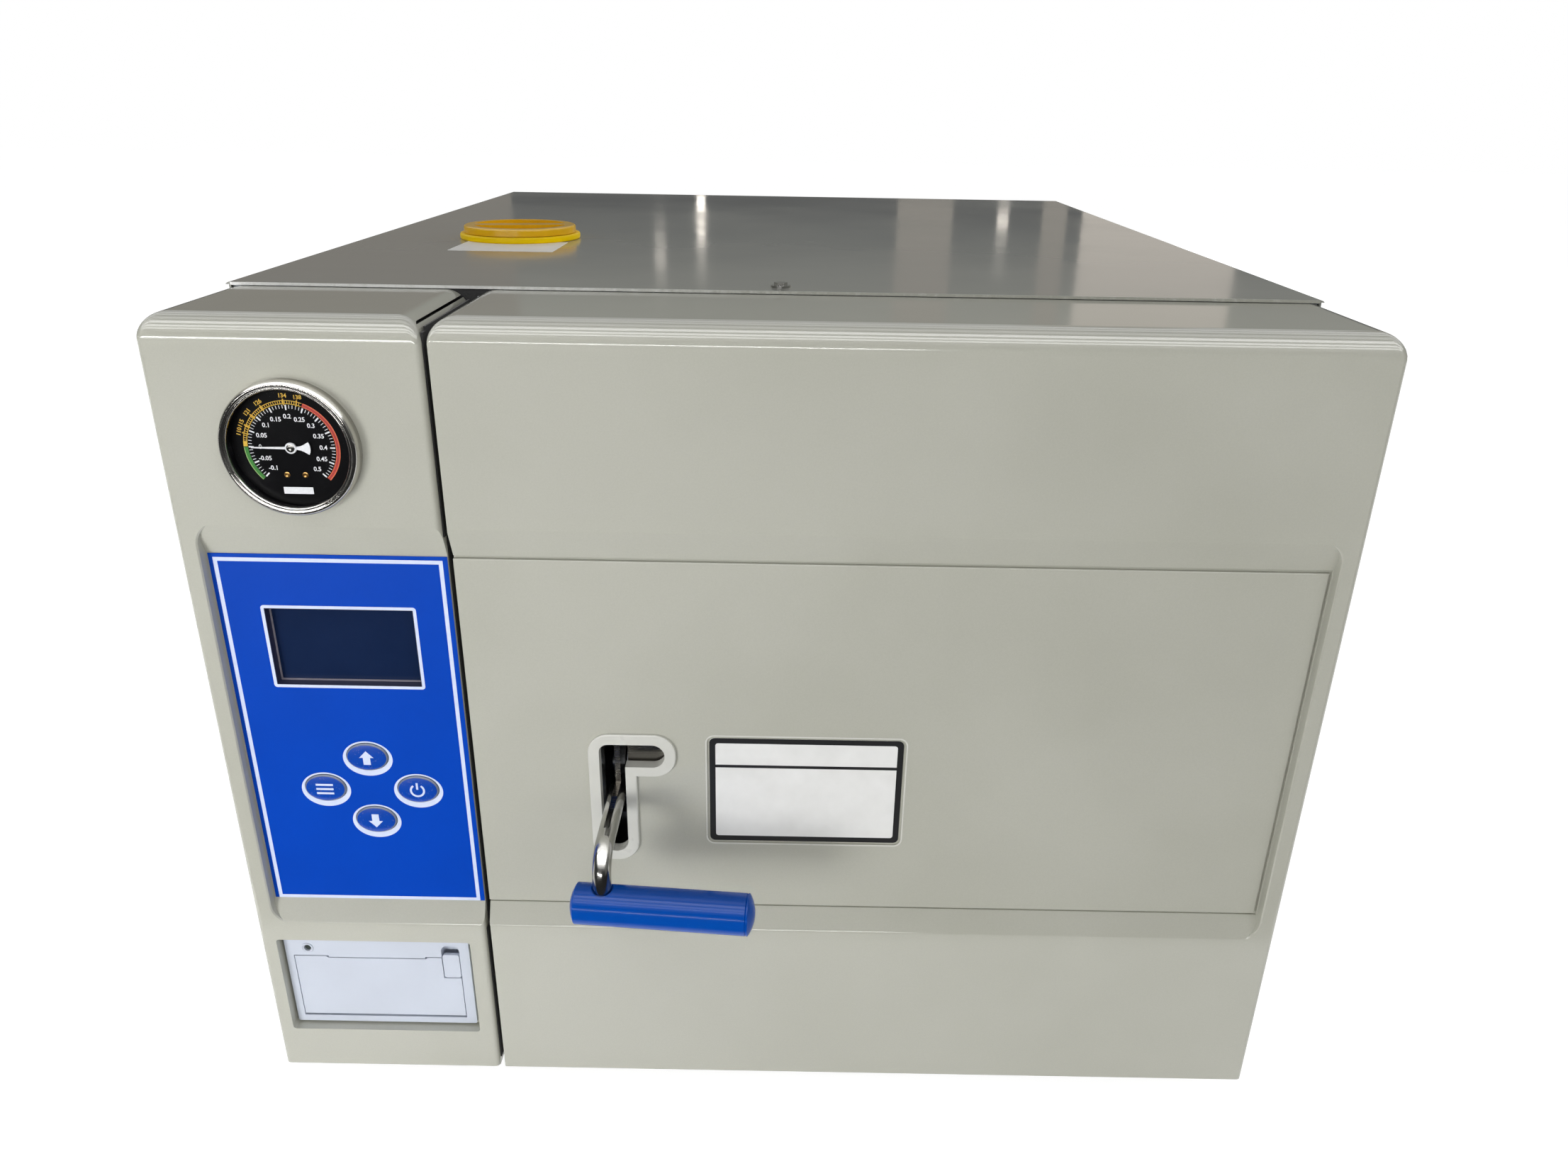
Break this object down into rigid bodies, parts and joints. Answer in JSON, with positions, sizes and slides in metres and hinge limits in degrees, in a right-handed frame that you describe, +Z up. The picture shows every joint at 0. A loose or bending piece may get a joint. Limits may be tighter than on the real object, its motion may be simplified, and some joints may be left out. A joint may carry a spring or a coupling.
{
  "type": "benchtop autoclave",
  "caption": "Benchtop steam autoclave with a side-hinged front door, latch handle in an L-shaped slot, control panel, pressure gauge, printer and a filler cap on top.",
  "frame": {"origin": "middle of the overall width and depth, on the surface under the feet", "axes": "+X to the right of a person who faces the door, +Y from the door to the back, +Z up"},
  "size_m": [0.6, 0.852, 0.4873],
  "materials": {
    "abs_grey": "moulded ABS, satin",
    "cover_paint": "gloss powder coat",
    "frame_steel": "stainless sheet",
    "zinc_steel": "zinc plated",
    "chrome": "polished",
    "blue_plastic": "moulded",
    "overlay_blue": "printed polyester film",
    "key_blue": "domed",
    "display_glass": "dark",
    "clear_glass": "clear",
    "dial_black": "printed",
    "needle_white": "matt",
    "printer_white": "moulded",
    "paper": "thermal paper",
    "label_film": "printed film",
    "silicone": "translucent silicone",
    "rubber": "moulded",
    "aluminium": "satin",
    "brass": "turned",
    "cap_yellow": "moulded",
    "tank_plastic": "rotomoulded",
    "black_plastic": "moulded",
    "jacket": "glass wool jacket",
    "circuit_board": "glass epoxy"
  },
  "bodies": {
    "housing": {"base_tray": "zinc_steel", "chamber": "frame_steel", "chamber_flange": "frame_steel", "condenser_coil": "aluminium", "control_board": "circuit_board", "control_overlay": "overlay_blue", "control_shell": "abs_grey", "cover_screws": "zinc_steel", "display_module": "display_glass", "drain_fittings": "brass", "fan_housing": "black_plastic", "feet": "rubber", "filler_neck": "cap_yellow", "frame_hinges": "zinc_steel", "front_frame": "frame_steel", "gauge_bezel": "chrome", "gauge_case": "black_plastic", "gauge_dial": "dial_black", "gauge_lens": "clear_glass", "heater_band": "zinc_steel", "inlet_module": "black_plastic", "insulation_jacket": "jacket", "latch_keeper": "zinc_steel", "main_board": "circuit_board", "printer_frame": "printer_white", "rear_panel": "cover_paint", "safety_valve": "brass", "solenoid_valves": "brass", "temperature_probe": "frame_steel", "top_cover": "cover_paint", "tray_rack": "frame_steel", "trays": "frame_steel", "water_pump": "black_plastic", "water_tank": "tank_plastic"},
    "door": {"door_shell": "abs_grey", "slot_rim": "abs_grey", "gate_plate": "frame_steel", "label_plate": "label_film", "pressure_door": "frame_steel", "door_gasket": "silicone", "door_liner": "frame_steel", "door_yoke": "zinc_steel", "latch_clevis": "zinc_steel", "door_post": "zinc_steel"},
    "handle": {"latch_lever": "frame_steel", "handle_rod": "chrome", "handle_grip": "blue_plastic", "grip_cap": "blue_plastic"},
    "gauge_needle": {"gauge_needle": "needle_white"},
    "key_up": {"key_up": "key_blue"},
    "key_down": {"key_down": "key_blue"},
    "key_left": {"key_left": "key_blue"},
    "key_right": {"key_right": "key_blue"},
    "printer_door": {"printer_door": "printer_white"},
    "printer_latch": {"printer_latch": "printer_white"},
    "paper_roll": {"paper_roll": "paper"},
    "filler_cap": {"filler_cap": "cap_yellow"},
    "fan_rotor": {"fan_rotor": "black_plastic"},
    "power_rocker": {"power_rocker": "black_plastic"},
    "drain_handle": {"drain_handle": "brass"}
  },
  "joints": [
    {"name": "door_hinge", "type": "hinge", "parent": "housing", "child": "door", "pos_m": [0.2925, -0.27349, 0.244], "axis": [0, 0, 1], "range_deg": [0, 105]},
    {"name": "handle_pivot", "type": "hinge", "parent": "door", "child": "handle", "pos_m": [-0.0849, -0.31399, 0.209], "axis": [-1, 0, 0], "range_deg": [-26, 36]},
    {"name": "needle_turn", "type": "hinge", "parent": "housing", "child": "gauge_needle", "pos_m": [-0.2332, -0.35959, 0.4131], "axis": [0, 1, 0], "range_deg": [-45, 225]},
    {"name": "key_up_press", "type": "slide", "parent": "housing", "child": "key_up", "axis": [0, 1, 0], "range_m": [0, 0.0008], "stiffness_N_per_m": 300, "springref_m": -0.0002},
    {"name": "key_down_press", "type": "slide", "parent": "housing", "child": "key_down", "axis": [0, 1, 0], "range_m": [0, 0.0008], "stiffness_N_per_m": 300, "springref_m": -0.0002},
    {"name": "key_left_press", "type": "slide", "parent": "housing", "child": "key_left", "axis": [0, 1, 0], "range_m": [0, 0.0008], "stiffness_N_per_m": 300, "springref_m": -0.0002},
    {"name": "key_right_press", "type": "slide", "parent": "housing", "child": "key_right", "axis": [0, 1, 0], "range_m": [0, 0.0008], "stiffness_N_per_m": 300, "springref_m": -0.0002},
    {"name": "printer_door_hinge", "type": "hinge", "parent": "housing", "child": "printer_door", "pos_m": [-0.23475, -0.35149, 0.0487], "axis": [1, 0, 0], "range_deg": [0, 90]},
    {"name": "printer_latch_pivot", "type": "hinge", "parent": "housing", "child": "printer_latch", "pos_m": [-0.19, -0.35109, 0.0801], "axis": [1, 0, 0], "range_deg": [0, 15], "stiffness_Nm_per_rad": 0.02},
    {"name": "paper_roll_turn", "type": "hinge", "parent": "housing", "child": "paper_roll", "pos_m": [-0.2375, -0.32549, 0.0727], "axis": [1, 0, 0], "continuous": true},
    {"name": "filler_cap_lift", "type": "slide", "parent": "housing", "child": "filler_cap", "axis": [0, 0, 1], "range_m": [0, 0.03]},
    {"name": "fan_spin", "type": "hinge", "parent": "housing", "child": "fan_rotor", "pos_m": [0.2, 0.38301, 0.372], "axis": [0, 1, 0], "continuous": true},
    {"name": "power_rocker_tip", "type": "hinge", "parent": "housing", "child": "power_rocker", "pos_m": [-0.23, 0.39601, 0.098], "axis": [1, 0, 0], "range_deg": [-8, 8]},
    {"name": "drain_handle_turn", "type": "hinge", "parent": "housing", "child": "drain_handle", "pos_m": [-0.12, 0.37001, 0.084], "axis": [0, 0, 1], "range_deg": [0, 90]}
  ]
}
